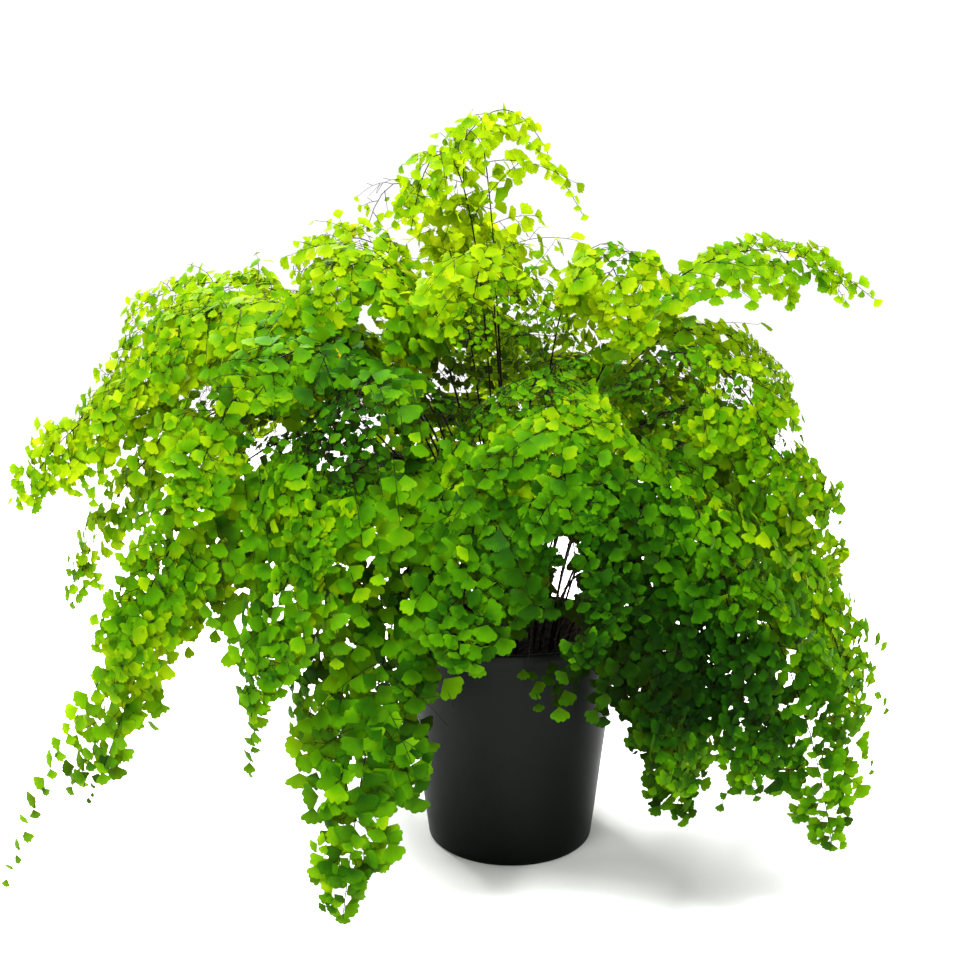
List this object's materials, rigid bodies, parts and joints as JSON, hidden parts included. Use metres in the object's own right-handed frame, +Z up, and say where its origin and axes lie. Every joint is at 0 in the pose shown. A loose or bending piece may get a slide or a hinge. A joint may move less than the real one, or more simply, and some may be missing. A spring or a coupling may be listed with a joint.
{
  "type": "potted fern",
  "caption": "Maidenhair fern in a round tapered pot: arching dark-stalked fronds with fan-shaped leaflets rise from the soil and droop over the rim.",
  "frame": {"origin": "centre of the pot's flat base, on the resting face", "axes": "+Z up along the pot's axis, +X to the right and +Y away from the viewer, as the picture shows it"},
  "size_m": [0.6433, 0.4509, 0.5364],
  "materials": {
    "pot_plastic": "satin charcoal plastic",
    "potting_soil": "rough, moist potting soil",
    "fern_green": "soft translucent green leaf"
  },
  "bodies": {
    "root": {"pot": "pot_plastic", "soil": "potting_soil", "frond_crown_front": "fern_green", "frond_crown_left": "fern_green", "frond_crown_far_left": "fern_green", "frond_crown_right": "fern_green", "frond_shoulder_left": "fern_green", "frond_shoulder_back": "fern_green", "frond_shoulder_front": "fern_green", "frond_shoulder_left_front": "fern_green", "frond_right_high": "fern_green", "frond_right_upper": "fern_green", "frond_right_middle": "fern_green", "frond_right_outer": "fern_green", "frond_right_inner": "fern_green", "frond_right_low": "fern_green", "frond_right_front": "fern_green", "frond_right_front_low": "fern_green", "frond_right_pot_side": "fern_green", "frond_front_dome": "fern_green", "frond_front_right": "fern_green", "frond_front_left": "fern_green", "frond_front_rim": "fern_green", "frond_front_hanging": "fern_green", "frond_front_left_upper": "fern_green", "frond_front_left_outer": "fern_green", "frond_front_pot_side": "fern_green", "frond_left_front_upper": "fern_green", "frond_left_front": "fern_green", "frond_left_front_low": "fern_green", "frond_left_sweep": "fern_green", "frond_left_low": "fern_green", "frond_left_outer": "fern_green", "frond_left_reach": "fern_green", "frond_left_upper": "fern_green", "frond_left_back_reach": "fern_green", "frond_left_back_top": "fern_green", "frond_back_left": "fern_green", "frond_back_left_low": "fern_green", "frond_back_upper": "fern_green", "frond_back_middle": "fern_green", "frond_back_middle_right": "fern_green", "frond_back_right": "fern_green", "frond_right_back_low": "fern_green", "frond_left_top": "fern_green"}
  },
  "joints": []
}
